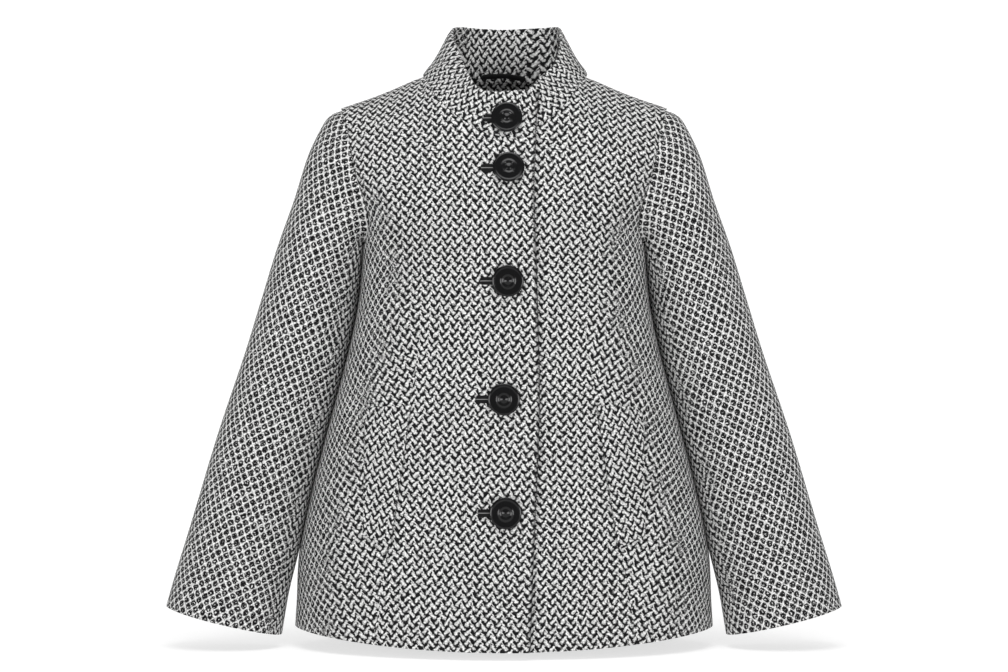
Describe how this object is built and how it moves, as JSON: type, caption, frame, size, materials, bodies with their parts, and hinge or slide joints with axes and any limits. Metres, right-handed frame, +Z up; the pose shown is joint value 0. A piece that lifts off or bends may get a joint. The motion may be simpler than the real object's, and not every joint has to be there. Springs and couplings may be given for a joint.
{
  "type": "tweed jacket",
  "caption": "Short A-line jacket of black and white tweed with a stand collar, large black buttons in bound buttonholes, set-in sleeves and slanted welt pockets; holds its shape when empty.",
  "frame": {"origin": "middle of the base of the neck, level with the neck ends of the shoulder seams, where the wearer's neck and shoulders carry the jacket", "axes": "+X towards the wearer's left, along the spread of the sleeves; +Y towards the back; +Z up"},
  "size_m": [0.806, 0.3036, 0.7371],
  "materials": {
    "tweed": "matte wool, black and white zigzag weave",
    "button": "polished black",
    "binding": "black tape, slight sheen"
  },
  "bodies": {
    "root": {"front_left": "tweed", "front_right": "tweed", "back": "tweed", "sleeve_left": "tweed", "sleeve_right": "tweed", "collar": "tweed", "pocket_welt_left": "tweed", "pocket_welt_right": "tweed", "button_1": "button", "button_2": "button", "button_3": "button", "button_4": "button", "button_5": "button", "buttonhole_1": "binding", "buttonhole_2": "binding", "buttonhole_3": "binding", "buttonhole_4": "binding", "buttonhole_5": "binding", "hanger_loop": "binding"}
  },
  "joints": []
}
